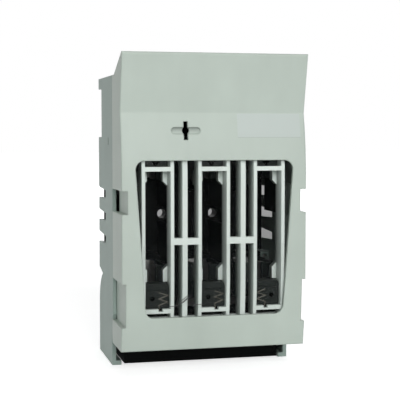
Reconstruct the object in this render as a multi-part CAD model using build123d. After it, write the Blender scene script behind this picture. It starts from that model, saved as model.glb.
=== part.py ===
from build123d import *
from math import atan2, copysign, cos, hypot, sin
import os

# Three-pole fuse switch disconnector of size 00, standing upright and closed.
# The front faces -Y and the mounting plane is at the rear.
# Depth is counted from the mounting plane toward the front, height from the underside.
# The origin is the middle of the underside of the whole device.

# Inner heights, counted from the base body's lower end
body_low = 1.0
terminal_end = 17.9
terminal_spacing = 33.0
contact_offset = 31.0

# Poles
pole_count = 3
side_room = 4.85
partition_thickness = 2.0
chamber_side_gap = 2.55

# Housing and gaps
housing_depth = 51.5
wall = 2.3
seam_gap = 0.3
side_gap = 0.4
cut_past = 1.0

# Side outline of the hinged cover
cover_bottom = 13.7
handle_rise = 11.9
handle_length = 33.4
brow_height = 40.0
cover_depth = 26.7
handle_reach = 7.3
window_reach = 4.8
foot_reach = 1.0
flat_low_rise = 5.1
root_step = 6.7
tab_step = 3.0
tab_top = 27.3
edge_round = 0.8

# Grip hollow behind the handle lip
shelf_rise = 2.0
hollow_step = 1.5
grip_rib_count = 4
grip_rib_thickness = 1.6
grip_rib_height = 6.0

# Hinge of the cover
hinge_set_back = 12.5
hinge_height = 20.5
hinge_pin_radius = 2.0
running_gap = 0.05
hinge_boss_radius = 5.0
ear_gap = 1.7
ear_thickness = 2.4
pin_seat = 4.6
pin_head_thickness = 1.0

# Window of the cover
window_above_contact = 5.6
window_below_contact = 19.7
window_side_top = 7.5
window_side_bottom = 13.5
window_round = 5.0
pane_set_back = 0.6
pane_gap = 0.15
pane_flange = 0.8
pane_flange_width = 2.5

# Finger pockets in the cover's side edges
upper_pocket_rise = 7.1
upper_pocket_height = 13.0
upper_pocket_sink = 3.5
upper_pocket_step = 3.2
lower_pocket_height = 24.4
lower_pocket_sink = 2.3

# Sealing cross in the cover's brow
cross_x = -16.5
cross_below_crease = 10.0
cross_groove_length = 16.6
cross_groove_width = 3.6
cross_groove_depth = 0.8
cross_slot_length = 10.2
cross_slot_width = 2.4
cross_hole_radius = 2.0

# White carrier that holds the fuse links in the cover
carrier_gap = 0.3
carrier_depth = 10.8
pocket_half_width = 9.15
rib_thickness = 2.0
centre_rib_x = 16.8
centre_rib_thickness = 2.9
carrier_margin = 10.1
crossbar_margin_low = 2.0
crossbar_margin_high = 3.5
crossbar_thickness = 2.5
link_bar_drop = 8.5
link_bar_thickness = 3.7
bar_depth = 4.0
web_thickness = 3.0
rail_hide = 1.0
lug_reach = 2.6
lug_low_drop = 0.9
lug_low_height = 9.3
lug_high_drop = 0.5
lug_high_height = 8.2
lug_depth = 5.0
lug_behind_rib = 3.3
post_half = 3.0
carrier_screw_radius = 1.4
notch_width = 2.4
notch_height = 1.4

# Fuse retainers, retaining springs and release tabs in the carrier
retainer_gap = 0.15
retainer_low_gap = 0.2
retainer_set_back = 4.0
retainer_depth = 9.5
retainer_round = 2.2
retainer_groove_height = 0.9
retainer_groove_margin = 2.0
retainer_groove_from_top = 3.6
retainer_hole_radius = 1.25
retainer_hole_offset = 2.6
retainer_hole_drop = 8.6
spring_offset = 1.6
spring_rise = 9.0
spring_loops = 5
wire_width = 0.55
tab_half_width = 2.6
tab_thickness = 2.2
tab_tip_rise = 0.2
tab_shoulder_rise = 3.4

# Side walls of the housing
recess_below_top = 6.3
recess_height = 29.1
recess_depth = 11.4
hook_count = 3
hook_pitch = 13.6
hook_drop = 14.9
hook_height = 6.4
hook_depth = 26.0
hook_barb = 1.0
valley_high = 52.2
valley_low = 33.0
valley_depth = 13.5
valley_floor = 49.5
foot_width = 5.4
foot_thickness = 2.6
boss_half = 2.8
boss_drop = 25.0
boss_rise = 35.0
boss_depth = 15.0
base_screw_radius = 1.4
cable_window_side = 3.05
cable_window_rear = 12.0
cable_window_front = 5.5
mark_length = 4.6
mark_width = 1.5
mark_sink = 1.4
mark_depth = 37.0
mark_height = 130.0

# Black insulating base
plate_rear_depth = 1.5
plate_front_depth = 5.0
plate_low = 3.0
partition_reach = 5.2
guard_rear_depth = 21.0
guard_drop = 4.1
guard_notch_rise = 39.0
bay_set_back = 1.5
bay_chamber_gap = 5.0
bay_cover_thickness = 2.4
bay_cover_gap = 0.2
groove_pitch = 5.4
groove_width = 1.6
groove_depth = 0.8
groove_margin = 3.0
groove_height = 15.0
pedestal_end = 10.9
pedestal_rise = 9.1
bed_half_width = 10.0
bed_half_length = 17.0
bed_front_depth = 26.0
bed_round = 7.0
mount_rise = 2.1
mount_spacing = 50.0
mount_hole_radius = 2.75
mount_boss_half = 5.0
mount_boss_front = 11.5
screw_access_half = 4.5

# Contacts, springs and arc chambers
strip_rear_depth = 22.0
strip_thickness = 2.2
strip_half_width = 10.0
lyre_half_width = 7.8
lyre_thickness = 1.6
lyre_height = 12.0
lyre_pinch_half = 3.5
lyre_flare_depth = 6.0
lyre_flare = 2.5
lyre_tip_gap = 2.0
lyre_bend = 1.0
strip_end = 6.0
shoulder_gap = 1.0
clip_thickness = 1.0
clip_height = 6.0
clip_gap = 0.6
clip_side_room = 1.0
clip_touch_gap = 0.15
clip_tip_drop = 2.5
chamber_wall = 2.1
chamber_front_step = 0.5
chamber_length = 20.0
chamber_end = 14.0
blade_slot_half = 4.5
chamber_round = 2.0

# Terminal fasteners, drawn with few flat sides like all small screws
fastener_sides = 12
bolt_radius = 3.9
thread_gap = 0.1
bolt_head_radius = 7.5
bolt_head_height = 5.3
bolt_tail_gap = 1.2
washer_radius = 8.0
washer_thickness = 1.6
nut_half = 6.5
nut_thickness = 6.5
nut_gap = 0.15

# Heights that follow
fuse_height = body_low + terminal_end + terminal_spacing + contact_offset
body_high = 2 * fuse_height - body_low
base_height = body_high + side_gap + wall
contact_low = fuse_height - contact_offset
contact_high = fuse_height + contact_offset
terminal_low = contact_low - terminal_spacing
bay_height = contact_low - chamber_end - bay_chamber_gap
cover_top = base_height + handle_rise
crease_height = cover_top - handle_length
shelf_height = crease_height + shelf_rise
flat_high = crease_height - brow_height
flat_low = contact_low + flat_low_rise
window_top = contact_high + window_above_contact
window_bottom = contact_low - window_below_contact
cross_height = crease_height - cross_below_crease
carrier_low = window_bottom - carrier_margin
carrier_high = window_top + carrier_margin
crossbar_low_edge = window_bottom + crossbar_margin_low
crossbar_low = (crossbar_low_edge, crossbar_low_edge + crossbar_thickness)
crossbar_high_edge = window_top - crossbar_margin_high
crossbar_high = (crossbar_high_edge - crossbar_thickness, crossbar_high_edge)
link_bar_middle = fuse_height - link_bar_drop
link_bar = (link_bar_middle - link_bar_thickness / 2, link_bar_middle + link_bar_thickness / 2)
lug_low = (contact_low - lug_low_drop, contact_low - lug_low_drop + lug_low_height)
lug_high = (contact_high - lug_high_drop - lug_high_height, contact_high - lug_high_drop)
recess_high = base_height - recess_below_top
hook_low = fuse_height - hook_drop
boss_heights = [fuse_height - boss_drop, fuse_height + boss_rise]
mount_heights = [fuse_height + mount_rise, fuse_height + mount_rise + mount_spacing]

# Depths that follow
seam_depth = housing_depth + seam_gap
crease_depth = seam_depth + cover_depth
handle_depth = crease_depth + handle_reach
window_depth = crease_depth + window_reach
foot_depth = crease_depth + foot_reach
handle_root_depth = seam_depth + root_step
hollow_rear_depth = handle_root_depth + hollow_step
tab_rear_depth = seam_depth - tab_step
lower_front_depth = tab_rear_depth - seam_gap
hinge_depth = crease_depth - hinge_set_back
partition_front_depth = seam_depth + partition_reach
bay_front_depth = housing_depth - bay_set_back
lyre_tip_depth = bay_front_depth - lyre_tip_gap
lyre_pinch_depth = lyre_tip_depth - lyre_flare_depth
clip_tip_depth = lyre_tip_depth - clip_tip_drop
chamber_front_depth = bay_front_depth + chamber_front_step
strip_front_depth = strip_rear_depth + strip_thickness
carrier_inset = wall + pane_flange + carrier_gap
carrier_front_depth = window_depth - carrier_inset
carrier_rear_depth = carrier_front_depth - carrier_depth
web_front_depth = carrier_rear_depth + web_thickness
reach = 2 * handle_depth

# Widths that follow
lyre_tip_half = lyre_pinch_half + lyre_flare
chamber_half_width = lyre_half_width + clip_gap + clip_thickness + clip_side_room + chamber_wall
pedestal_half_width = chamber_half_width
pole_pitch = 2 * (chamber_half_width + chamber_side_gap) + partition_thickness
width = pole_count * pole_pitch + 2 * side_room
half_width = width / 2
inner_half = half_width - wall
window_half_top = half_width - window_side_top
window_half_bottom = half_width - window_side_bottom
pocket_inner_half = pocket_half_width - rib_thickness
pole_centres = [(i - (pole_count - 1) / 2) * pole_pitch for i in range(pole_count)]
gap_centres = [(a + b) / 2 for a, b in zip(pole_centres, pole_centres[1:])]
guard_x = pole_centres[-1] + pole_pitch / 2
ear_inner_x = pole_centres[-1] + strip_half_width + ear_gap
ear_outer_x = ear_inner_x + ear_thickness
boss_x = inner_half - boss_half

# The rear plane lies half the overall depth behind the origin, and the rounded lip counts for that depth
lip_lean = atan2(handle_reach, cover_top - crease_height)
lip_fall = atan2(cover_top - base_height, handle_depth - handle_root_depth)
lip_loss = edge_round * ((cos(lip_fall) + sin(lip_lean)) / cos(lip_fall + lip_lean) - 1)
rear_y = (handle_depth - lip_loss) / 2

# Planes: side works in (depth, height), front in (x, height, depth), plan in (x, depth)
side_plane = Plane(origin=(0, rear_y, 0), x_dir=(0, -1, 0), z_dir=(-1, 0, 0))
front_plane = Plane(origin=(0, rear_y, 0), x_dir=(1, 0, 0), z_dir=(0, -1, 0))
plan_plane = Plane(origin=(0, rear_y, 0), x_dir=(1, 0, 0), z_dir=(0, 0, -1))


def block(x_span, depth_span, z_span):
    """A box between two x values, two depths and two heights."""
    size = [abs(b - a) for a, b in (x_span, depth_span, z_span)]
    centre = (sum(x_span) / 2, rear_y - sum(depth_span) / 2, sum(z_span) / 2)
    return Pos(*centre) * Box(*size)


def side_prism(face, x_span):
    """A side view face, given in depth and height, drawn out between two x values."""
    half = (x_span[1] - x_span[0]) / 2
    return Pos(sum(x_span) / 2, 0, 0) * extrude(side_plane * face, amount=half, both=True)


def front_prism(face, depth_span):
    """A front view face, given in x and height, drawn out between two depths."""
    prism = extrude(front_plane * face, amount=depth_span[1] - depth_span[0])
    return Pos(0, -depth_span[0], 0) * prism


def plan_prism(face, z_span):
    """A plan view face, given in x and depth, drawn out between two heights."""
    prism = extrude(plan_plane * face, amount=z_span[1] - z_span[0])
    return Pos(0, 0, z_span[1]) * prism


def rod_x(depth, height, radius, x_span):
    """A cylinder across the device."""
    middle = Pos(sum(x_span) / 2, 0, 0) * side_plane.location * Pos(depth, height, 0)
    return middle * Cylinder(radius, abs(x_span[1] - x_span[0]))


def rod_y(x, height, radius, depth_span):
    """A cylinder from rear to front."""
    middle = front_plane * Pos(x, height, sum(depth_span) / 2)
    return middle * Cylinder(radius, abs(depth_span[1] - depth_span[0]))


def few_sided(x, height, radius, depth_span, hole=False):
    """A screw's shank or head, or the hole round it, with few flat sides."""
    face = Pos(x, height) * RegularPolygon(radius, fastener_sides, major_radius=not hole)
    return front_prism(face, depth_span)


def both_sides(shape):
    """The shape and its mirror image on the other side of the device."""
    return shape + mirror(shape, about=Plane.YZ)


def upper_twin(shape):
    """The same piece at the other end of the fuse link."""
    return mirror(shape, about=Plane.XY.offset(fuse_height))


def behind_front(inset):
    """All that lies behind the cover's front surface, set back by inset."""
    flat = Line((window_depth - inset, flat_low), (window_depth - inset, flat_high))
    brow_end = (crease_depth - inset, crease_height)
    brow = TangentArc((window_depth - inset, flat_high), brow_end, tangent=(0, 1))
    chin_end = (foot_depth - inset, cover_bottom)
    chin = TangentArc((window_depth - inset, flat_low), chin_end, tangent=(0, -1))
    lip_top = (handle_depth - inset, cover_top)
    lip = Line(brow_end, lip_top)
    back = Polyline(lip_top, (0, cover_top), (0, cover_bottom), chin_end)
    return side_prism(make_face(Curve() + [flat, brow, chin, lip, back]), (-half_width, half_width))


def window_face(margin):
    """The window's trapezoid with round corners, grown by margin."""
    corners = [
        (-window_half_bottom, window_bottom),
        (window_half_bottom, window_bottom),
        (window_half_top, window_top),
        (-window_half_top, window_top),
    ]
    face = make_face(Polyline(*corners, close=True))
    face = fillet(face.vertices(), window_round)
    return offset(face, amount=margin) if margin else face


def cover_block():
    """The cover's full outer form, before it is hollowed."""
    outline = [
        (tab_rear_depth, cover_bottom),
        (reach, cover_bottom),
        (reach, cover_top),
        (handle_depth, cover_top),
        (handle_root_depth, base_height),
        (seam_depth, base_height),
        (seam_depth, tab_top),
        (tab_rear_depth, tab_top),
    ]
    envelope = side_prism(make_face(Polyline(*outline, close=True)), (-half_width, half_width))
    form = behind_front(0) & envelope
    lip = form.edges().filter_by(Axis.X).sort_by(Axis.Z)[-1]
    front_limit = rear_y - (crease_depth + running_gap)
    rims = [e for e in form.edges() if abs(abs(e.center().X) - half_width) < running_gap]
    rims = [e for e in rims if e.center().Y < front_limit]
    return fillet([lip] + rims, edge_round) - swing_relief()


def swing_relief():
    """What is cut from the cover's rear edge so that it turns clear of the side wall."""
    corner = block((-half_width, half_width), (tab_rear_depth, hinge_depth), (cover_bottom, tab_top))
    swing_radius = hinge_depth - tab_rear_depth
    return corner - rod_x(hinge_depth, hinge_height, swing_radius, (-half_width, half_width))


def cover_hollows():
    """The room inside the cover and the grip hollow behind its lip."""
    inside = (-inner_half, inner_half)
    room = behind_front(wall) & block(inside, (0, reach), (cover_bottom + wall, shelf_height))
    attic = block(inside, (0, hollow_rear_depth - wall), (shelf_height, base_height - wall))
    grip_span = (hollow_rear_depth, reach)
    grip = behind_front(wall) & block(inside, grip_span, (shelf_height + wall, cover_top))
    pitch = 2 * inner_half / (grip_rib_count + 1)
    rib_top = shelf_height + wall + grip_rib_height
    for i in range(grip_rib_count):
        x = -inner_half + pitch * (i + 1)
        x_span = (x - grip_rib_thickness / 2, x + grip_rib_thickness / 2)
        grip -= block(x_span, grip_span, (shelf_height, rib_top))
    underside = block(inside, (0, hinge_depth + hinge_boss_radius), (cover_bottom, cover_bottom + wall))
    return room + attic + grip + underside


def finger_pocket(low, high, sink, rear_depth):
    """The walls of one finger pocket and the space that is cut from it, on the right side."""
    face_x = half_width - sink
    walls = block((face_x - wall, half_width), (rear_depth, reach), (low - wall, high + wall))
    space = block((face_x, half_width + wall), (0, reach), (low, high))
    return walls & behind_front(wall / 2), space


def carrier_posts():
    """Where the posts inside the cover stand that the carrier is screwed to."""
    beside_pane = pane_flange_width + post_half + carrier_gap
    heights = (window_bottom - beside_pane, window_top + beside_pane)
    return [(x, z) for x in gap_centres for z in heights]


def sealing_cross():
    """The shallow groove and the upright slot of the sealing cross."""
    groove_face = Pos(cross_x, cross_height) * SlotOverall(cross_groove_length, cross_groove_width)
    skin = behind_front(0) - behind_front(cross_groove_depth)
    groove = front_prism(groove_face, (hinge_depth, reach)) & skin
    slot_face = Rectangle(cross_slot_width, cross_slot_length) + Circle(cross_hole_radius)
    return groove + front_prism(Pos(cross_x, cross_height) * slot_face, (hinge_depth, reach))


def make_cover():
    """The hinged cover with its handle, window opening and hinge bosses."""
    cover = cover_block() - cover_hollows()
    upper_low = fuse_height + upper_pocket_rise
    upper_high = upper_low + upper_pocket_height
    upper = finger_pocket(upper_low, upper_high, upper_pocket_sink, seam_depth + upper_pocket_step)
    lower = finger_pocket(tab_top, tab_top + lower_pocket_height, lower_pocket_sink, seam_depth)
    for walls, space in (upper, lower):
        cover = cover + both_sides(walls) - both_sides(space)
    boss_span = (ear_outer_x + seam_gap, inner_half + wall / 2)
    cover += both_sides(rod_x(hinge_depth, hinge_height, hinge_boss_radius, boss_span))
    for x, z in carrier_posts():
        x_span = (x - post_half, x + post_half)
        post = block(x_span, (web_front_depth, reach), (z - post_half, z + post_half))
        cover += post & behind_front(wall / 2)
        screw_span = (web_front_depth, window_depth - 2 * wall)
        cover -= few_sided(x, z, carrier_screw_radius, screw_span, hole=True)
    cover -= front_prism(window_face(0), (hinge_depth, reach))
    cover -= sealing_cross()
    bore_span = (ear_outer_x, ear_outer_x + pin_seat + seam_gap)
    bore_radius = hinge_pin_radius + running_gap
    cover -= both_sides(rod_x(hinge_depth, hinge_height, bore_radius, bore_span))
    return cover


def make_window():
    """The clear pane: a plug that fills the opening and a flange behind the wall."""
    plug = front_prism(window_face(-pane_gap), (hinge_depth, reach))
    plug &= behind_front(pane_set_back) - behind_front(wall + pane_flange)
    flange = front_prism(window_face(pane_flange_width), (hinge_depth, reach))
    flange &= behind_front(wall + running_gap) - behind_front(wall + pane_flange)
    return plug + flange


def upright(x_low, x_high):
    """One upright of a fuse pocket, from the carrier's bottom end to its top end."""
    return block((x_low, x_high), (carrier_rear_depth, reach), (carrier_low, carrier_high))


def lug_face(x, side, span, taper_up):
    """A gripping lug on an upright, with a slanted end toward the middle of the fuse."""
    inner = x + side * pocket_inner_half
    tip = inner - side * lug_reach
    low, high = span
    if taper_up:
        points = [(inner, low), (tip, low), (tip, high - lug_reach), (inner, high)]
    else:
        points = [(inner, low), (tip, low + lug_reach), (tip, high), (inner, high)]
    return make_face(Polyline(*points, close=True))


def turned(x):
    """The side on which the pocket at x has its spring: the last pole is a mirror image."""
    return -1 if x > pole_centres[1] else 1


def pocket(x):
    """The frame that holds one fuse link."""
    outer = pocket_half_width
    inner = pocket_inner_half
    frame = upright(x - outer, x - inner) + upright(x + inner, x + outer)
    for low, high in (crossbar_low, crossbar_high):
        bar_span = (carrier_front_depth - bar_depth, reach)
        frame += block((x - inner, x + inner), bar_span, (low, high))
    web_span = (carrier_rear_depth, web_front_depth)
    frame += block((x - inner, x + inner), web_span, (crossbar_high[1], carrier_high))
    lug_rear = carrier_rear_depth - lug_behind_rib
    for side in (-1, 1):
        for span, taper_up in ((lug_low, True), (lug_high, False)):
            lug = front_prism(lug_face(x, side, span, taper_up), (lug_rear, lug_rear + lug_depth))
            edge = x + side * inner
            root_span = (min(edge, edge + side * rib_thickness), max(edge, edge + side * rib_thickness))
            root = block(root_span, (lug_rear, carrier_rear_depth), span)
            frame += lug + root
    notch_middle = x + turned(x) * spring_offset
    notch_x = (notch_middle - notch_width / 2, notch_middle + notch_width / 2)
    notch_z = (crossbar_low[1] - notch_height, crossbar_low[1])
    return frame - block(notch_x, (carrier_rear_depth, reach), notch_z)


def make_carrier():
    """The white moulding with a pocket for each fuse link, joined by centre ribs and links."""
    outer_x = pole_centres[-1] + pocket_half_width
    rail_low = window_bottom - rail_hide
    rail_high = window_top + rail_hide
    rail_span = (carrier_rear_depth, web_front_depth)
    carrier = block((-outer_x, outer_x), rail_span, (carrier_low, rail_low))
    carrier += block((-outer_x, outer_x), rail_span, (rail_high, carrier_high))
    for x in pole_centres:
        carrier += pocket(x)
    for x in gap_centres:
        rib_middle = copysign(centre_rib_x, x)
        rib_x = (rib_middle - centre_rib_thickness / 2, rib_middle + centre_rib_thickness / 2)
        carrier += block(rib_x, (carrier_rear_depth, reach), (rail_low, rail_high))
        side = pole_pitch / 2 - pocket_half_width
        bar_span = (carrier_front_depth - bar_depth, reach)
        carrier += block((x - side, x + side), bar_span, link_bar)
    carrier &= behind_front(carrier_inset)
    for x, z in carrier_posts():
        hole_radius = carrier_screw_radius + running_gap
        carrier -= few_sided(x, z, hole_radius, rail_span, hole=True)
    return carrier


def make_carrier_screws():
    """Pan head screws that hold the carrier to the cover's posts."""
    screws = []
    for x, z in carrier_posts():
        head_span = (carrier_rear_depth - carrier_screw_radius, carrier_rear_depth)
        shank_span = (carrier_rear_depth, web_front_depth + 3 * carrier_screw_radius)
        head = few_sided(x, z, 2 * carrier_screw_radius, head_span)
        screws.append(head + few_sided(x, z, carrier_screw_radius - running_gap, shank_span))
    return screws


def make_retainer(x):
    """The grey block that closes the lower end of a fuse pocket."""
    half = pocket_inner_half - retainer_gap
    low = crossbar_low[1] + retainer_low_gap
    high = lug_low[0] - retainer_low_gap
    front = carrier_front_depth - retainer_set_back
    face = Pos(x, (low + high) / 2) * Rectangle(2 * half, high - low)
    face = fillet(face.vertices().sort_by(Axis.Y)[-2:], retainer_round)
    body = front_prism(face, (front - retainer_depth, front))
    groove_high = high - retainer_groove_from_top
    groove_z = (groove_high - retainer_groove_height, groove_high)
    groove_half = half - retainer_groove_margin
    body -= block((x - groove_half, x + groove_half), (front - retainer_groove_height, front), groove_z)
    hole_x = x - turned(x) * retainer_hole_offset
    hole_span = (front - 2 * retainer_hole_radius, front)
    return body - few_sided(hole_x, high - retainer_hole_drop, retainer_hole_radius, hole_span, hole=True)


def make_retaining_spring(x):
    """A wire bent to and fro on the front of the retainer, with its tail in the crossbar's notch."""
    low = crossbar_low[1]
    front = carrier_front_depth - retainer_set_back + running_gap
    near = spring_offset - wire_width
    far = pocket_inner_half - 2 * wire_width
    step = spring_rise / spring_loops
    points = [(far if i % 2 else near, low + spring_rise - i * step) for i in range(spring_loops)]
    points.append((spring_offset, low - notch_height + wire_width))
    line = Polyline(*[(x + turned(x) * across, height) for across, height in points])
    return front_prism(trace(line, line_width=wire_width), (front, front + wire_width))


def make_release_tab(x):
    """The black pointed tab above each fuse pocket."""
    tip = crossbar_high[1] + tab_tip_rise
    shoulder = tip + tab_shoulder_rise
    points = [
        (x, tip),
        (x + tab_half_width, shoulder),
        (x + tab_half_width, carrier_high - tab_tip_rise),
        (x - tab_half_width, carrier_high - tab_tip_rise),
        (x - tab_half_width, shoulder),
    ]
    face = make_face(Polyline(*points, close=True))
    return front_prism(face, (web_front_depth, web_front_depth + tab_thickness))


def hook_notch(i):
    """A notch in the side wall's rear edge, narrowed at its closed end by a barb."""
    low = hook_low + i * hook_pitch
    high = low + hook_height
    outline = Polyline(
        (-cut_past, low),
        (hook_barb, low),
        (hook_depth, low + hook_barb),
        (hook_depth, high - hook_barb),
        (2 * hook_barb, high),
        (-cut_past, high + hook_barb),
        close=True,
    )
    return make_face(outline)


def valley_cut():
    """The curved cut low on the side wall's rear edge."""
    top = Line((0, valley_high), (valley_depth, valley_floor))
    sweep_in = TangentArc((0, valley_low), (valley_depth, valley_floor), tangent=(0.18, 1))
    back = Polyline((0, valley_low), (-cut_past, valley_low), (-cut_past, valley_high), (0, valley_high))
    return make_face(Curve() + [top, sweep_in, back])


def side_wall_face():
    """The side wall with its front edge cut round the hinge, rear recess, hook notches and valley."""
    face = Pos(housing_depth / 2, base_height / 2) * Rectangle(housing_depth, base_height)
    face -= Pos(hinge_depth, hinge_height) * Circle(hinge_depth - lower_front_depth)
    step = housing_depth - lower_front_depth
    face -= Pos(lower_front_depth + step / 2, hinge_height / 2) * Rectangle(step, hinge_height)
    face -= Pos(recess_depth / 2, recess_high - recess_height / 2) * Rectangle(recess_depth, recess_height)
    for i in range(hook_count):
        face -= hook_notch(i)
    return face - valley_cut()


def wall_fittings():
    """The foot and the screw bosses on the inside of the right wall."""
    foot_x = (half_width - foot_width, half_width - wall / 2)
    fittings = block(foot_x, (0, lower_front_depth), (0, foot_thickness))
    for z in boss_heights:
        span = (plate_front_depth, plate_front_depth + boss_depth)
        boss = block((boss_x - boss_half, half_width - wall / 2), span, (z - boss_half, z + boss_half))
        fittings += boss - few_sided(boss_x, z, base_screw_radius + running_gap, span, hole=True)
    return fittings


def make_housing():
    """The light grey housing: two side walls under a top wall with cable windows."""
    right = side_prism(side_wall_face(), (inner_half, half_width)) + wall_fittings()
    mark_face = Pos(mark_depth, mark_height) * SlotOverall(mark_length, mark_width, rotation=90)
    right -= side_prism(mark_face, (half_width - mark_sink, half_width + cut_past))
    top_z = (base_height - wall, base_height)
    top = block((-inner_half, inner_half), (0, housing_depth), top_z)
    half = pole_pitch / 2 - cable_window_side
    for x in pole_centres:
        top -= block((x - half, x + half), (cable_window_rear, housing_depth - cable_window_front), top_z)
    return both_sides(right) + top


def partition_face():
    """Side view of a wall between two poles, stepped back at the terminal bays."""
    bay_edge = bay_front_depth - bay_cover_thickness - bay_cover_gap
    bay_top = 2 * fuse_height - bay_height
    outline = [
        (plate_rear_depth, body_low),
        (bay_edge, body_low),
        (bay_edge, bay_height),
        (partition_front_depth, bay_height + (partition_front_depth - bay_edge)),
        (partition_front_depth, bay_top - (partition_front_depth - bay_edge)),
        (bay_edge, bay_top),
        (bay_edge, body_high),
        (plate_rear_depth, body_high),
    ]
    return make_face(Polyline(*outline, close=True))


def guard_face():
    """Side view of the short guard beside the outer poles, clear of the hook notches and screw bosses."""
    low = fuse_height + guard_drop
    high = fuse_height + guard_notch_rise
    rear = plate_rear_depth
    outline = [
        (guard_rear_depth, low),
        (housing_depth, low),
        (housing_depth, high),
        (bay_front_depth, high),
        (bay_front_depth, body_high),
        (rear, body_high),
        (rear, high),
        (guard_rear_depth, high),
    ]
    return make_face(Polyline(*outline, close=True))


def hinge_cheek():
    """The outer wall of the lower terminal bay, drawn out into a hinge ear."""
    x_span = (ear_inner_x, ear_outer_x)
    cheek = block(x_span, (plate_rear_depth, bay_front_depth), (body_low, bay_height))
    arm_z = (hinge_height - hinge_boss_radius, hinge_height + hinge_boss_radius)
    cheek += block(x_span, (plate_front_depth, hinge_depth), arm_z)
    cheek += rod_x(hinge_depth, hinge_height, hinge_boss_radius, x_span)
    return cheek - rod_x(hinge_depth, hinge_height, hinge_pin_radius, x_span)


def pedestal(x):
    """The raised bed for a contact and its terminal, with room for the nut, the bolt and the clip."""
    x_span = (x - pedestal_half_width, x + pedestal_half_width)
    z_span = (terminal_low - pedestal_end, contact_low + pedestal_rise)
    body = block(x_span, (plate_rear_depth, strip_rear_depth), z_span)
    nut = nut_half + nut_gap
    nut_span = (strip_rear_depth - nut_thickness - nut_gap, strip_rear_depth)
    body -= block((x - nut, x + nut), nut_span, (terminal_low - nut, terminal_low + nut))
    tail = bolt_radius + nut_gap
    tail_span = (plate_front_depth + bolt_tail_gap - nut_gap, strip_rear_depth)
    body -= block((x - tail, x + tail), tail_span, (terminal_low - tail, terminal_low + tail))
    clip = lyre_half_width + clip_gap + clip_thickness + nut_gap
    clip_z = clip_height / 2 + nut_gap
    clip_span = (strip_rear_depth - clip_gap - clip_thickness - nut_gap, strip_rear_depth)
    body -= block((x - clip, x + clip), clip_span, (contact_low - clip_z, contact_low + clip_z))
    return body


def fuse_bed(x):
    """The round-ended rise between the two contacts of a pole."""
    face = Pos(x, fuse_height) * Rectangle(2 * bed_half_width, 2 * bed_half_length)
    face = fillet(face.vertices(), bed_round)
    return front_prism(face, (plate_rear_depth, bed_front_depth))


def make_base_body():
    """The black base: back plate, pole partitions, pedestals, hinge ears and mounting holes."""
    plate_x = inner_half - side_gap
    half_thickness = partition_thickness / 2
    body = block((-plate_x, plate_x), (plate_rear_depth, plate_front_depth), (plate_low, body_high))
    for x in gap_centres:
        body += side_prism(partition_face(), (x - half_thickness, x + half_thickness))
    body += both_sides(side_prism(guard_face(), (guard_x - half_thickness, guard_x + half_thickness)))
    cheek = hinge_cheek()
    ear_x = (ear_inner_x, ear_outer_x)
    upper_cheek = block(ear_x, (plate_front_depth, bay_front_depth), (body_low, bay_height))
    body += both_sides(cheek) + both_sides(upper_twin(upper_cheek))
    for x in pole_centres:
        body += pedestal(x) + upper_twin(pedestal(x)) + fuse_bed(x)
    for x in gap_centres:
        for z in mount_heights:
            boss_x_span = (x - mount_boss_half, x + mount_boss_half)
            body += block(boss_x_span, (0, mount_boss_front), (z - mount_boss_half, z + mount_boss_half))
            body -= rod_y(x, z, mount_hole_radius, (0, mount_boss_front))
            access_z = (z - screw_access_half, z + screw_access_half)
            body -= block(boss_x_span, (mount_boss_front, reach), access_z)
    for z in boss_heights:
        body -= both_sides(base_screw_shank(z, base_screw_radius + running_gap, hole=True))
    return body


def base_screw_shank(z, radius, hole=False):
    """The shank of a base screw, or its hole, through the back plate into a housing boss."""
    shank_span = (plate_rear_depth, plate_front_depth + boss_depth - boss_half)
    return few_sided(boss_x, z, radius, shank_span, hole=hole)


def make_base_screws():
    """The four screws that hold the black base in the housing, with their heads behind the back plate."""
    screws = []
    head_span = (plate_rear_depth - base_screw_radius, plate_rear_depth)
    for z in boss_heights:
        head = few_sided(boss_x, z, 2 * base_screw_radius, head_span)
        screw = head + base_screw_shank(z, base_screw_radius)
        screws += [screw, mirror(screw, about=Plane.YZ)]
    return screws


def part_way(start, end, length):
    """The point at a length from the start toward the end."""
    x, depth = end[0] - start[0], end[1] - start[1]
    share = length / hypot(x, depth)
    return start[0] + share * x, start[1] + share * depth


def bent_strip(points, bend, thickness, z_span):
    """A folded metal band, drawn in plan through the given points, with each bend made of two folds."""
    path = [points[0]]
    for before, corner, after in zip(points, points[1:], points[2:]):
        path += [part_way(corner, before, bend), part_way(corner, after, bend)]
    path.append(points[-1])
    return plan_prism(trace(Polyline(*path), line_width=thickness), z_span)


def mirrored(points):
    """The points followed by their mirror images, in one run from left to right."""
    return [(-x, d) for x, d in points] + [(x, d) for x, d in reversed(points)]


def lower_contact():
    """The lower lyre contact of the middle pole, in one piece with its terminal strip."""
    foot = strip_rear_depth + strip_thickness / 2
    side = lyre_half_width - lyre_thickness / 2
    waist = foot + 0.35 * (lyre_pinch_depth - foot)
    jaw = [(lyre_tip_half, lyre_tip_depth), (lyre_pinch_half, lyre_pinch_depth)]
    half_run = jaw + [(side, waist), (side, foot)]
    z_span = (contact_low - lyre_height / 2, contact_low + lyre_height / 2)
    lyre = bent_strip(mirrored(half_run), lyre_bend, lyre_thickness, z_span)
    strip_span = (strip_rear_depth, strip_front_depth)
    neck_x = (-lyre_half_width, lyre_half_width)
    shoulder = contact_low - chamber_end - shoulder_gap
    neck = block(neck_x, strip_span, (shoulder, contact_low + strip_end))
    tail_low = terminal_low - strip_half_width
    tail = block((-strip_half_width, strip_half_width), strip_span, (tail_low, shoulder))
    hole = few_sided(0, terminal_low, bolt_radius + 2 * thread_gap, strip_span, hole=True)
    return lyre + neck + tail - hole


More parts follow.
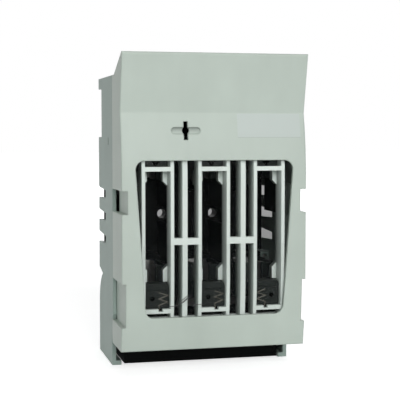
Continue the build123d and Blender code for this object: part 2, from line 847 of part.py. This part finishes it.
def lower_clip():
    """The steel spring clip that presses the legs of the lower contact together."""
    foot = strip_rear_depth - clip_gap - clip_thickness / 2
    side = lyre_half_width + clip_gap + clip_thickness / 2
    waist = strip_rear_depth + 0.4 * (lyre_pinch_depth - strip_rear_depth)
    pinch = lyre_pinch_half + (lyre_thickness + clip_thickness) / 2 + clip_touch_gap
    flare = (lyre_tip_half - lyre_pinch_half) / (lyre_tip_depth - lyre_pinch_depth)
    tip = pinch + flare * (clip_tip_depth - lyre_pinch_depth)
    half_run = [(tip, clip_tip_depth), (pinch, lyre_pinch_depth), (side, waist), (side, foot)]
    z_span = (contact_low - clip_height / 2, contact_low + clip_height / 2)
    return bent_strip(mirrored(half_run), lyre_bend, clip_thickness, z_span)


def lower_chamber():
    """The grey arc chamber around the lower contact, open toward the fuse link."""
    high = contact_low + chamber_length - chamber_end
    low = contact_low - chamber_end
    half = chamber_half_width
    face = Pos(0, (strip_rear_depth + chamber_front_depth) / 2) * Rectangle(
        2 * half, chamber_front_depth - strip_rear_depth
    )
    face = fillet(face.vertices().sort_by(Axis.Y)[-2:], chamber_round)
    body = plan_prism(face, (low, high))
    inside = half - chamber_wall
    body -= block((-inside, inside), (0, chamber_front_depth - chamber_wall), (low + chamber_wall, high))
    body -= block((-inside, inside), (0, strip_front_depth + nut_gap), (low, high))
    slot_low = contact_low - lyre_height / 2
    body -= block((-blade_slot_half, blade_slot_half), (strip_front_depth, reach), (slot_low, high))
    return body


def hexagon(radius):
    """A hexagon by its corner radius."""
    return RegularPolygon(radius, 6)


def terminal_bolt(x):
    """A terminal bolt, its washer and its captive nut at the lower end of a pole."""
    washer_front = strip_front_depth + washer_thickness
    head_face = Pos(x, terminal_low) * hexagon(bolt_head_radius)
    bolt = front_prism(head_face, (washer_front, washer_front + bolt_head_height))
    bolt += few_sided(x, terminal_low, bolt_radius, (plate_front_depth + bolt_tail_gap, washer_front))
    washer_face = Pos(x, terminal_low) * RegularPolygon(washer_radius, 2 * fastener_sides)
    washer_span = (strip_front_depth, washer_front)
    washer = front_prism(washer_face, washer_span)
    washer -= few_sided(x, terminal_low, bolt_radius + thread_gap, washer_span, hole=True)
    nut_span = (strip_rear_depth - nut_thickness, strip_rear_depth)
    nut = block((x - nut_half, x + nut_half), nut_span, (terminal_low - nut_half, terminal_low + nut_half))
    nut -= few_sided(x, terminal_low, bolt_radius + thread_gap, nut_span, hole=True)
    return bolt, washer, nut


def lower_bay_cover():
    """The black plate that closes the front of the lower terminal bays, with finger grooves."""
    half = ear_inner_x - bay_cover_gap
    front = bay_front_depth
    groove_high = bay_height - groove_margin
    cover = block((-half, half), (front - bay_cover_thickness, front), (body_low, bay_height))
    for x in pole_centres:
        for step in (-1, 0, 1):
            groove_x = x + step * groove_pitch
            groove_span = (groove_x - groove_width / 2, groove_x + groove_width / 2)
            groove_z = (groove_high - groove_height, groove_high)
            cover -= block(groove_span, (front - groove_depth, front), groove_z)
    return cover


def hinge_pin(side):
    """A steel pin that sits in the base's ear and turns in the cover's boss."""
    inner = ear_inner_x - pin_head_thickness
    outer = ear_outer_x + pin_seat
    head = rod_x(hinge_depth, hinge_height, 1.5 * hinge_pin_radius, (inner, ear_inner_x))
    pin = head + rod_x(hinge_depth, hinge_height, hinge_pin_radius, (ear_inner_x, outer))
    return pin if side > 0 else mirror(pin, about=Plane.YZ)


def make_nodes():
    """Every piece of the device by the name of its node."""
    nodes = {
        "housing": make_housing(),
        "base_body": make_base_body(),
        "base_screws": make_base_screws(),
        "lower_bay_cover": lower_bay_cover(),
        "upper_bay_cover": upper_twin(lower_bay_cover()),
        "hinge_pin_left": hinge_pin(-1),
        "hinge_pin_right": hinge_pin(1),
        "cover": make_cover(),
        "window": make_window(),
        "fuse_carrier": make_carrier(),
        "carrier_screws": make_carrier_screws(),
    }
    bolts, washers, nuts = [], [], []
    for number, x in enumerate(pole_centres, start=1):
        place = Pos(x, 0, 0)
        pieces = {"contact": lower_contact(), "spring": lower_clip(), "arc_chamber": lower_chamber()}
        for name, piece in pieces.items():
            nodes[f"lower_{name}_{number}"] = place * piece
            nodes[f"upper_{name}_{number}"] = place * upper_twin(piece)
        nodes[f"fuse_retainer_{number}"] = make_retainer(x)
        nodes[f"retaining_spring_{number}"] = make_retaining_spring(x)
        nodes[f"release_tab_{number}"] = make_release_tab(x)
        for group, piece in zip((bolts, washers, nuts), terminal_bolt(x)):
            group += [piece, upper_twin(piece)]
    nodes["terminal_bolts"] = bolts
    nodes["terminal_washers"] = washers
    nodes["terminal_nuts"] = nuts
    return nodes


def solids_of(piece):
    """The separate solids of a piece or of a group of pieces."""
    pieces = piece if isinstance(piece, list) else [piece]
    return [solid for item in pieces for solid in item.solids()]


os.makedirs("parts", exist_ok=True)
for node, piece in make_nodes().items():
    export_step(Compound(children=solids_of(piece)), f"parts/{node}.step")
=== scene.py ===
import math

import bmesh
import bpy
from mathutils import Matrix, Vector


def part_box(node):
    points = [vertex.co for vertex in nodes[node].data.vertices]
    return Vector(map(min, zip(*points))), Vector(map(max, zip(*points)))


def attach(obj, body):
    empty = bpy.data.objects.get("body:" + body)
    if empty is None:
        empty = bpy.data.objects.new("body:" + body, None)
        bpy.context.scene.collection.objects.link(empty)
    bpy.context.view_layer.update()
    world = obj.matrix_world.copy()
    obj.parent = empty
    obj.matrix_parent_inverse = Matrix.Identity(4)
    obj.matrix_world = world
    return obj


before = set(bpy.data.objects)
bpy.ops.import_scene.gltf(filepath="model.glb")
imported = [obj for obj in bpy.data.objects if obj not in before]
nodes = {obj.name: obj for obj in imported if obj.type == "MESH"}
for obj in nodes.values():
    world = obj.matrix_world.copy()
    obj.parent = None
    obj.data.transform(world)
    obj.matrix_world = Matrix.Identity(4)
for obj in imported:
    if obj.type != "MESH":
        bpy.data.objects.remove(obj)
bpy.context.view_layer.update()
scene = bpy.context.scene

# All places and sizes are in metres in the part's own frame: x to the right, y to the rear, z up.

# Bare name plate on the cover's brow: middle and half size in x and z
plate_middle = (0.0316, 0.1390)
plate_half = (0.0184, 0.0066)
plate_edge_middle = (0.0316, 0.1323)
plate_edge_half = (0.0184, 0.0002)
plate_edge_strength = 0.5

# Groove of the sealing cross: middle, half length of its straight part, and end radius
groove_x = -0.0165
groove_z = 0.136
groove_straight = 0.0065
groove_radius = 0.0018
groove_shade_rise = (-0.0012, 0.0018)
groove_shade_strength = (0.05, 0.85)

# Small slots of the side walls: middle and half size
slot_y = 0.00574
slot_half_y = 0.0009
slot_z = 0.130
slot_half_z = 0.0024
slot_strength = 0.8

# Blind holes of the fuse retainers, where near-black painted shade goes
hole_places_x = (-0.0347, -0.0026, 0.0347)
hole_z = 0.0422
hole_radius = 0.00132

# Painted shade on the sides of the carrier's ribs, darker from their front to their rear
rib_depth_y = (-0.0368, -0.0270)
rib_side_shade_strength = (0.0, 0.72)

# Clear pane: upper end of its hazier part, and the bow of its lower front
haze_end_z = 0.0722
haze_line_half = 0.00022
pane_flat_z = 0.057
pane_bow_radius = 0.2486

# Printed sign on the pane
print_lift = 0.00003
print_width = 0.00032
print_step = 0.001

# Thin dark sheets behind the release tabs, put there as painted shade
shade_sheet_size = Vector((0.0140, 0.0004, 0.0115))
shade_sheet_low_z = 0.11605

# Background: how much of it shows behind the pane, where it is painted darker as painted shade, the
# floor's glow, and the room's soft light
shade_behind_pane = 0.24
floor_width = 12.0
glow_distance = (0.3, 1.5)
glow_strength = (0.7, 1.0)
room_light = 0.06

# Camera, solved from the photograph
photo_pixels = 400.0
focal_pixels = 1091.03
sensor_width_mm = 36.0
camera_distance = 0.64386
camera_azimuth = math.radians(13.67)
camera_elevation = math.radians(3.63)
camera_target = Vector((0.00022, -0.00227, 0.09518))


# Helpers for node trees


def tree_of(name):
    """A new material with a Principled shader, its node tree and that shader."""
    material = bpy.data.materials.new(name)
    material.use_nodes = True
    tree = material.node_tree
    return material, tree, tree.nodes["Principled BSDF"]


def add(tree, kind, **values):
    """A node of the given kind with its properties set."""
    node = tree.nodes.new(kind)
    for key, value in values.items():
        setattr(node, key, value)
    return node


def maths(tree, operation, first, second=None, third=None):
    """The result of a math node on sockets or plain numbers."""
    node = add(tree, "ShaderNodeMath", operation=operation)
    for socket, value in zip(node.inputs, (first, second, third)):
        if isinstance(value, (int, float)):
            socket.default_value = value
        elif value is not None:
            tree.links.new(value, socket)
    return node.outputs[0]


def times(tree, first, second):
    """The product of two values."""
    return maths(tree, "MULTIPLY", first, second)


def plus(tree, first, second):
    """The sum of two values."""
    return maths(tree, "ADD", first, second)


def mixed(tree, first, share, second, other_share):
    """Two values added together, each times its share."""
    return plus(tree, times(tree, first, share), times(tree, second, other_share))


def spread(tree, value, old, new):
    """The value with the range old moved to the range new."""
    node = add(tree, "ShaderNodeMapRange")
    tree.links.new(value, node.inputs[0])
    for socket, number in zip(node.inputs[1:5], (*old, *new)):
        socket.default_value = number
    return node.outputs[0]


def blend_colours(tree, factor, first, second):
    """A colour between two colours, by a socket."""
    node = add(tree, "ShaderNodeMix", data_type="RGBA")
    tree.links.new(factor, node.inputs[0])
    for socket, value in ((node.inputs[6], first), (node.inputs[7], second)):
        if isinstance(value, tuple):
            socket.default_value = (*value, 1)
        else:
            tree.links.new(value, socket)
    return node.outputs[2]


def noise(tree, place, scale, detail, stretch=None):
    """A noise value at the given place, stretched along the axes if asked."""
    if stretch:
        mapping = add(tree, "ShaderNodeMapping")
        mapping.inputs["Scale"].default_value = stretch
        tree.links.new(place, mapping.inputs[0])
        place = mapping.outputs[0]
    node = add(tree, "ShaderNodeTexNoise")
    node.inputs["Scale"].default_value = scale
    node.inputs["Detail"].default_value = detail
    tree.links.new(place, node.inputs["Vector"])
    return node.outputs[0]


def edge_mask(tree, radius, gain):
    """How far a point lies on a sharp edge, and the normal with that edge made round."""
    bevel = add(tree, "ShaderNodeBevel", samples=6)
    bevel.inputs["Radius"].default_value = radius
    geometry = add(tree, "ShaderNodeNewGeometry")
    dot = add(tree, "ShaderNodeVectorMath", operation="DOT_PRODUCT")
    tree.links.new(bevel.outputs[0], dot.inputs[0])
    tree.links.new(geometry.outputs["Normal"], dot.inputs[1])
    bend = maths(tree, "SUBTRACT", 1.0, dot.outputs["Value"])
    amount = add(tree, "ShaderNodeMath", operation="MULTIPLY", use_clamp=True)
    tree.links.new(bend, amount.inputs[0])
    amount.inputs[1].default_value = gain
    return amount.outputs[0], bevel.outputs[0]


def relief(tree, height, distance, strength, normal=None):
    """A bump, on top of a normal if one is given."""
    bump = add(tree, "ShaderNodeBump")
    bump.inputs["Strength"].default_value = strength
    bump.inputs["Distance"].default_value = distance
    tree.links.new(height, bump.inputs["Height"])
    if normal:
        tree.links.new(normal, bump.inputs["Normal"])
    return bump.outputs[0]


def axes(tree, vector):
    """The three numbers of a vector."""
    split = add(tree, "ShaderNodeSeparateXYZ")
    tree.links.new(vector, split.inputs[0])
    return split.outputs


# Masks for marks, painted shade in recesses and on the ribs' sides, and painted sheen on rear faces


def front_patch(tree, coordinates, middle, half):
    """One within a rectangle in x and z on surfaces that face the front."""
    place = axes(tree, coordinates.outputs["Object"])
    facing = axes(tree, coordinates.outputs["Normal"])
    across = maths(tree, "COMPARE", place[0], middle[0], half[0])
    upward = maths(tree, "COMPARE", place[2], middle[1], half[1])
    front = maths(tree, "LESS_THAN", facing[1], -0.5)
    return times(tree, times(tree, across, upward), front)


def label_mask(tree, coordinates):
    """One on the bare name plate on the cover's brow."""
    return front_patch(tree, coordinates, plate_middle, plate_half)


def label_edge_mask(tree, coordinates):
    """The name plate's lower edge, drawn as a thin shade."""
    line = front_patch(tree, coordinates, plate_edge_middle, plate_edge_half)
    return times(tree, line, plate_edge_strength)


def groove_mask(tree, coordinates):
    """The shade in the groove of the sealing cross, deepest under its upper edge."""
    place = axes(tree, coordinates.outputs["Object"])
    sideways = maths(tree, "ABSOLUTE", maths(tree, "SUBTRACT", place[0], groove_x))
    beyond = maths(tree, "MAXIMUM", maths(tree, "SUBTRACT", sideways, groove_straight), 0.0)
    above = maths(tree, "SUBTRACT", place[2], groove_z)
    square = plus(tree, times(tree, beyond, beyond), times(tree, above, above))
    inside = maths(tree, "LESS_THAN", square, groove_radius ** 2)
    return times(tree, inside, spread(tree, above, groove_shade_rise, groove_shade_strength))


def slot_mask(tree, coordinates):
    """The shade in the small slots of the side walls."""
    place = axes(tree, coordinates.outputs["Object"])
    deep = maths(tree, "COMPARE", place[1], slot_y, slot_half_y)
    upward = maths(tree, "COMPARE", place[2], slot_z, slot_half_z)
    return times(tree, times(tree, deep, upward), slot_strength)


def retainer_hole_shade_mask(tree, coordinates):
    """One in the blind holes of the fuse retainers, which get a near-black painted shade and no shine.
    """
    place = axes(tree, coordinates.outputs["Object"])
    above = maths(tree, "SUBTRACT", place[2], hole_z)
    height = times(tree, above, above)
    holes = 0.0
    for hole_x in hole_places_x:
        sideways = maths(tree, "SUBTRACT", place[0], hole_x)
        square = plus(tree, times(tree, sideways, sideways), height)
        inside = maths(tree, "LESS_THAN", square, hole_radius ** 2)
        holes = maths(tree, "MAXIMUM", holes, inside)
    return holes


def rib_side_shade_mask(tree, coordinates):
    """The painted shade on the ribs' side faces, which grows from the front to the rear."""
    place = axes(tree, coordinates.outputs["Object"])
    facing = axes(tree, coordinates.outputs["Normal"])
    sideways = maths(tree, "GREATER_THAN", maths(tree, "ABSOLUTE", facing[0]), 0.6)
    return times(tree, sideways, spread(tree, place[1], rib_depth_y, rib_side_shade_strength))


def rear_sheen_mask(tree, coordinates):
    """Uneven painted sheen: a lighter black on the surfaces that face the rear."""
    facing = axes(tree, coordinates.outputs["Normal"])
    sheen_patches = noise(tree, coordinates.outputs["Object"], scale=45.0, detail=5.0)
    amount = spread(tree, sheen_patches, (0.35, 0.65), (0.55, 1.0))
    return times(tree, maths(tree, "GREATER_THAN", facing[1], 0.5), amount)


# Materials


def moulded(name, colour, worn, rough, shine=0.35, rounding=0.0005, patches=(), dull=None):
    """Moulded plastic with a slight colour drift, a fine grain and lighter worn edges.

    Each of the patches is a mask with the colour that it brings. The mask dull takes the shine away.
    """
    material, tree, shader = tree_of(name)
    coordinates = add(tree, "ShaderNodeTexCoord")
    place = coordinates.outputs["Object"]
    broad = noise(tree, place, scale=22.0, detail=4.0)
    flow = noise(tree, place, scale=60.0, detail=2.0, stretch=(1.0, 1.0, 0.15))
    fine = noise(tree, place, scale=2600.0, detail=2.0)
    drift = mixed(tree, broad, 0.65, flow, 0.35)
    darker = tuple(c * 0.93 for c in colour)
    lighter = tuple(min(c * 1.05, 1.0) for c in colour)
    base = blend_colours(tree, spread(tree, drift, (0.32, 0.68), (0.0, 1.0)), darker, lighter)
    for mask, patch_colour in patches:
        base = blend_colours(tree, mask(tree, coordinates), base, patch_colour)
    edges, rounded = edge_mask(tree, rounding, gain=1.1)
    wear = times(tree, edges, spread(tree, broad, (0.3, 0.7), (0.25, 0.8)))
    tree.links.new(blend_colours(tree, wear, base, worn), shader.inputs["Base Color"])
    roughness = spread(tree, fine, (0.3, 0.7), (rough - 0.07, rough + 0.09))
    tree.links.new(roughness, shader.inputs["Roughness"])
    grain = plus(tree, fine, times(tree, flow, 0.6))
    normal = relief(tree, grain, distance=0.00004, strength=0.5, normal=rounded)
    tree.links.new(normal, shader.inputs["Normal"])
    shader.inputs["Specular IOR Level"].default_value = shine
    if dull:
        glossy = maths(tree, "SUBTRACT", 1.0, dull(tree, coordinates))
        tree.links.new(times(tree, glossy, shine), shader.inputs["Specular IOR Level"])
    return material


def metal(name, colour, tarnish, rough, stretch):
    """Plated metal with drawn scratches and dull spots."""
    material, tree, shader = tree_of(name)
    place = add(tree, "ShaderNodeTexCoord").outputs["Object"]
    lines = noise(tree, place, scale=900.0, detail=3.0, stretch=stretch)
    spots = noise(tree, place, scale=140.0, detail=4.0)
    dull = spread(tree, spots, (0.45, 0.72), (0.0, 1.0))
    base = blend_colours(tree, dull, colour, tarnish)
    edges, rounded = edge_mask(tree, radius=0.0003, gain=1.0)
    tree.links.new(blend_colours(tree, edges, base, colour), shader.inputs["Base Color"])
    roughness = spread(tree, lines, (0.25, 0.75), (rough - 0.08, rough + 0.14))
    tree.links.new(roughness, shader.inputs["Roughness"])
    normal = relief(tree, lines, distance=0.00002, strength=0.5, normal=rounded)
    tree.links.new(normal, shader.inputs["Normal"])
    shader.inputs["Metallic"].default_value = 1.0
    return material


def clear_pane(name):
    """Clear moulded sheet: mostly see-through, with a weak sheen and faint handling marks."""
    material, tree, shader = tree_of(name)
    place = add(tree, "ShaderNodeTexCoord").outputs["Object"]
    smear = noise(tree, place, scale=35.0, detail=5.0, stretch=(1.0, 1.0, 0.4))
    specks = noise(tree, place, scale=900.0, detail=2.0)
    haze = mixed(tree, smear, 0.8, specks, 0.2)
    height = axes(tree, place)[2]
    lower = maths(tree, "LESS_THAN", height, haze_end_z)
    line = maths(tree, "COMPARE", height, haze_end_z, haze_line_half)
    marks = mixed(tree, lower, 0.02, line, 0.03)
    base = blend_colours(tree, haze, (0.01, 0.013, 0.012), (0.05, 0.062, 0.060))
    tree.links.new(base, shader.inputs["Base Color"])
    film = plus(tree, spread(tree, haze, (0.3, 0.7), (0.015, 0.03)), marks)
    tree.links.new(film, shader.inputs["Alpha"])
    roughness = spread(tree, smear, (0.3, 0.7), (0.04, 0.14))
    tree.links.new(roughness, shader.inputs["Roughness"])
    waves = plus(tree, smear, times(tree, specks, 0.1))
    normal = relief(tree, waves, distance=0.0002, strength=0.15)
    tree.links.new(normal, shader.inputs["Normal"])
    shader.inputs["IOR"].default_value = 1.5
    return material


def ink():
    """Dull black print with small uneven patches."""
    material, tree, shader = tree_of("print_ink")
    place = add(tree, "ShaderNodeTexCoord").outputs["Object"]
    patches = noise(tree, place, scale=1800.0, detail=3.0)
    worn = spread(tree, patches, (0.4, 0.7), (0.0, 1.0))
    colour = blend_colours(tree, worn, (0.008, 0.009, 0.01), (0.03, 0.032, 0.035))
    tree.links.new(colour, shader.inputs["Base Color"])
    roughness = spread(tree, patches, (0.3, 0.7), (0.4, 0.6))
    tree.links.new(roughness, shader.inputs["Roughness"])
    return material


shade = (0.16, 0.19, 0.17)
cover_patches = [
    (label_mask, (0.568, 0.628, 0.595)),
    (label_edge_mask, (0.40, 0.45, 0.42)),
    (groove_mask, shade),
]
cover_grey = moulded(
    "cover_grey",
    colour=(0.545, 0.615, 0.555),
    worn=(0.60, 0.67, 0.61),
    rough=0.46,
    rounding=0.0012,
    patches=cover_patches,
)
wall_grey = moulded(
    "wall_grey",
    colour=(0.362, 0.448, 0.408),
    worn=(0.50, 0.58, 0.53),
    rough=0.50,
    rounding=0.0008,
    patches=[(slot_mask, shade)],
)
white_carrier = moulded(
    "white_carrier",
    colour=(0.845, 0.92, 0.868),
    worn=(0.91, 0.96, 0.93),
    rough=0.42,
    # Painted shade on the ribs' side faces, darker towards their rear
    patches=[(rib_side_shade_mask, (0.06, 0.065, 0.062))],
)
black_base = moulded(
    "black_base",
    colour=(0.004, 0.0045, 0.0045),
    worn=(0.016, 0.017, 0.017),
    rough=0.5,
    shine=0.03,
    # Painted sheen: a lighter black on the faces that face the rear
    patches=[(rear_sheen_mask, (0.022, 0.024, 0.024))],
)
tab_black = moulded(
    "tab_black",
    colour=(0.0015, 0.002, 0.002),
    worn=(0.008, 0.009, 0.009),
    rough=0.5,
    shine=0.0,
)
# Dark grey of the painted-shade sheets above the fuse pockets
shade_sheet_grey = moulded(
    "shade_sheet_grey",
    colour=(0.062, 0.070, 0.066),
    worn=(0.09, 0.10, 0.095),
    rough=0.5,
    shine=0.1,
)
chamber_grey = moulded(
    "chamber_grey",
    colour=(0.014, 0.018, 0.018),
    worn=(0.04, 0.045, 0.045),
    rough=0.5,
    shine=0.1,
)
block_grey = moulded(
    "block_grey",
    colour=(0.020, 0.024, 0.022),
    worn=(0.05, 0.056, 0.053),
    rough=0.42,
    shine=0.10,
    # Painted shade: the retainers' blind holes near-black and without shine
    patches=[(retainer_hole_shade_mask, (0.0008, 0.001, 0.001))],
    dull=retainer_hole_shade_mask,
)
steel = metal(
    "zinc_steel",
    colour=(0.62, 0.62, 0.60),
    tarnish=(0.42, 0.42, 0.40),
    rough=0.30,
    stretch=(1.0, 1.0, 14.0),
)
# Silver with tarnish, kept dark: partly the metal's own tarnish, partly painted shade deep in the base
silvered = metal(
    "silvered",
    colour=(0.42, 0.42, 0.41),
    tarnish=(0.20, 0.20, 0.19),
    rough=0.38,
    stretch=(12.0, 1.0, 1.0),
)
wire = metal(
    "spring_wire",
    colour=(0.17, 0.165, 0.14),
    tarnish=(0.09, 0.085, 0.07),
    rough=0.30,
    stretch=(1.0, 1.0, 6.0),
)
pane = clear_pane("clear_pane")

# The last row whose word is in a node's name decides.
material_rows = [
    ("housing", wall_grey),
    ("cover", cover_grey),
    ("bay_cover", black_base),
    ("base_body", black_base),
    ("screws", steel),
    ("hinge_pin", steel),
    ("terminal_", steel),
    ("contact", silvered),
    ("_spring_", steel),
    ("retaining_spring", wire),
    ("arc_chamber", chamber_grey),
    ("fuse_retainer", block_grey),
    ("release_tab", tab_black),
    ("window", pane),
    ("fuse_carrier", white_carrier),
]


def dress(node):
    """Gives a node its material by its name."""
    mesh = nodes[node].data
    mesh.materials.clear()
    mesh.materials.append([material for word, material in material_rows if word in node][-1])


for node in nodes:
    dress(node)


# Printed sign on the pane


def pane_front(height):
    """The y of the pane's front surface at a height in its lower part."""
    lowest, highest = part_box("window")
    drop = max(pane_flat_z - height, 0.0)
    bow = math.sqrt(pane_bow_radius * pane_bow_radius - drop * drop)
    return lowest.y + pane_bow_radius - bow - print_lift


def stroke(mesh, points):
    """A flat printed line through points given in x and z."""
    for (x0, z0), (x1, z1) in zip(points, points[1:]):
        length = math.hypot(x1 - x0, z1 - z0)
        across = Vector((-(z1 - z0), 0, x1 - x0)) / length * print_width / 2
        steps = max(1, round(length / print_step))
        rows = []
        for i in range(steps + 1):
            t = i / steps
            centre = Vector((x0 + (x1 - x0) * t, 0, z0 + (z1 - z0) * t))
            row = []
            for corner in (centre - across, centre + across):
                row.append(mesh.verts.new((corner.x, pane_front(corner.z), corner.z)))
            rows.append(row)
        for first, second in zip(rows, rows[1:]):
            mesh.faces.new((first[0], second[0], second[1], first[1]))


def ring(centre_x, centre_z, radius, parts=20):
    """Points of a closed circle in x and z."""
    angles = [2 * math.pi * i / parts for i in range(parts + 1)]
    return [(centre_x + radius * math.cos(a), centre_z + radius * math.sin(a)) for a in angles]


def printed_symbol():
    """The general sign of a fused switch: two leads, a slanted blade with a fuse on it and a pivot."""
    left_lead = [(-0.0275, 0.0385), (-0.0215, 0.0388)]
    blade = [(-0.0215, 0.0388), (-0.0135, 0.0450)]
    fuse_corners = [(-0.0200, 0.0412), (-0.0161, 0.0442), (-0.0153, 0.0431), (-0.0192, 0.0401)]
    fuse = fuse_corners + fuse_corners[:1]
    pivot = ring(-0.0124, 0.0391, radius=0.0009)
    right_lead = [(-0.0115, 0.0391), (-0.0062, 0.0393)]
    mesh = bmesh.new()
    for line in (left_lead, blade, fuse, pivot, right_lead):
        stroke(mesh, line)
    data = bpy.data.meshes.new("pane_symbol")
    mesh.to_mesh(data)
    mesh.free()
    data.materials.append(ink())
    symbol = bpy.data.objects.new("pane_symbol", data)
    scene.collection.objects.link(symbol)
    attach(symbol, "cover")


printed_symbol()


# Dark sheets above the fuse pockets, as painted shade


def shade_sheet(number):
    """A thin dark sheet behind a release tab, from the crossbar to beyond the window's upper edge, as
    painted shade.
    """
    low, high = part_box(f"release_tab_{number}")
    size = shade_sheet_size
    place = ((low.x + high.x) / 2, high.y - size.y / 2, shade_sheet_low_z + size.z / 2)
    bpy.ops.mesh.primitive_cube_add(size=1, location=place)
    plate = bpy.context.object
    plate.name = f"shade_sheet_{number}"
    plate.data.transform(Matrix.Diagonal(size.to_4d()))
    plate.data.materials.append(shade_sheet_grey)
    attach(plate, "cover")


for number in (1, 2, 3):
    shade_sheet(number)


# Floor, light and camera


def background_light(tree):
    """How much the background shows to a ray, and how much of its own colour is left there.

    It shows to rays from the camera and to rays that come by a reflection or through a sheet; behind
    the pane it is painted darker, as painted shade.
    """
    path = add(tree, "ShaderNodeLightPath")
    seen = maths(tree, "MAXIMUM", path.outputs["Is Camera Ray"], path.outputs["Is Transmission Ray"])
    seen = maths(tree, "MAXIMUM", seen, path.outputs["Is Glossy Ray"])
    crossed = maths(tree, "MINIMUM", path.outputs["Transparent Depth"], 1.0)
    shown = times(tree, seen, spread(tree, crossed, (0.0, 1.0), (1.0, shade_behind_pane)))
    hidden = times(tree, crossed, path.outputs["Is Camera Ray"])
    return shown, spread(tree, hidden, (0.0, 1.0), (1.0, shade_behind_pane))


def white_floor():
    """A pale floor that reads as white and keeps the object's shadow."""
    bpy.ops.mesh.primitive_plane_add(size=floor_width, location=(0, 0, 0))
    floor = bpy.context.object
    floor.name = "floor"
    material, tree, shader = tree_of("floor_white")
    place = add(tree, "ShaderNodeTexCoord").outputs["Object"]
    mottle = noise(tree, place, scale=3.0, detail=2.0)
    paper = blend_colours(tree, mottle, (0.84, 0.84, 0.84), (0.86, 0.86, 0.86))
    shown, left = background_light(tree)
    # Behind the pane the floor's colour is painted darker, as painted shade
    tree.links.new(blend_colours(tree, left, (0.0, 0.0, 0.0), paper), shader.inputs["Base Color"])
    shader.inputs["Roughness"].default_value = 0.9
    shader.inputs["Specular IOR Level"].default_value = 0.0
    shader.inputs["Emission Color"].default_value = (1, 1, 1, 1)
    distance = add(tree, "ShaderNodeVectorMath", operation="LENGTH")
    tree.links.new(place, distance.inputs[0])
    glow = spread(tree, distance.outputs["Value"], glow_distance, glow_strength)
    tree.links.new(times(tree, shown, glow), shader.inputs["Emission Strength"])
    floor.data.materials.append(material)


def studio_world():
    """Soft grey light from all round that looks white to the camera."""
    world = bpy.data.worlds.new("studio")
    scene.world = world
    world.use_nodes = True
    tree = world.node_tree
    background = tree.nodes["Background"]
    shown = background_light(tree)[0]
    # Seen through the pane the world is painted darker, as painted shade
    strength = spread(tree, shown, (0.0, 1.0), (room_light, 1.0))
    tree.links.new(strength, background.inputs["Strength"])
    background.inputs["Color"].default_value = (1, 1, 1, 1)


def lamp(name, place, size, watts, colour=(1, 1, 1), aim=(0, 0, 0.09)):
    """A soft square lamp that points at a place."""
    data = bpy.data.lights.new(name, "AREA")
    data.size = size
    data.energy = watts
    data.color = colour
    lamp_object = bpy.data.objects.new(name, data)
    scene.collection.objects.link(lamp_object)
    lamp_object.location = place
    lamp_object.rotation_mode = "QUATERNION"
    lamp_object.rotation_quaternion = (Vector(aim) - Vector(place)).to_track_quat("-Z", "Y")


def photo_camera():
    """The camera at the photograph's viewing angle."""
    level = math.cos(camera_elevation)
    back_x = -math.sin(camera_azimuth) * level
    back_y = -math.cos(camera_azimuth) * level
    back = Vector((back_x, back_y, math.sin(camera_elevation)))
    data = bpy.data.cameras.new("camera")
    data.sensor_width = sensor_width_mm
    data.lens = focal_pixels * sensor_width_mm / photo_pixels
    data.clip_start = 0.01
    data.clip_end = 50.0
    camera = bpy.data.objects.new("camera", data)
    scene.collection.objects.link(camera)
    camera.location = camera_target + back * camera_distance
    camera.rotation_mode = "QUATERNION"
    camera.rotation_quaternion = (-back).to_track_quat("-Z", "Y")
    scene.camera = camera


white_floor()
studio_world()
lamp("key", place=(0.1, -2.2, 0.92), size=1.2, watts=30.0)
lamp("left", place=(-1.5, -1.35, 0.5), size=1.0, watts=7.8, colour=(0.95, 1.0, 0.99))
lamp("right", place=(1.38, -0.1, 0.3), size=0.8, watts=4.0, colour=(0.86, 1.0, 1.0))
lamp("rear", place=(0.3, 1.9, 0.9), size=1.2, watts=9.0)
lamp("top", place=(0.1, 0.2, 1.3), size=0.8, watts=1.5, aim=(0, 0, 0.1))
photo_camera()
scene.view_settings.view_transform = "Standard"
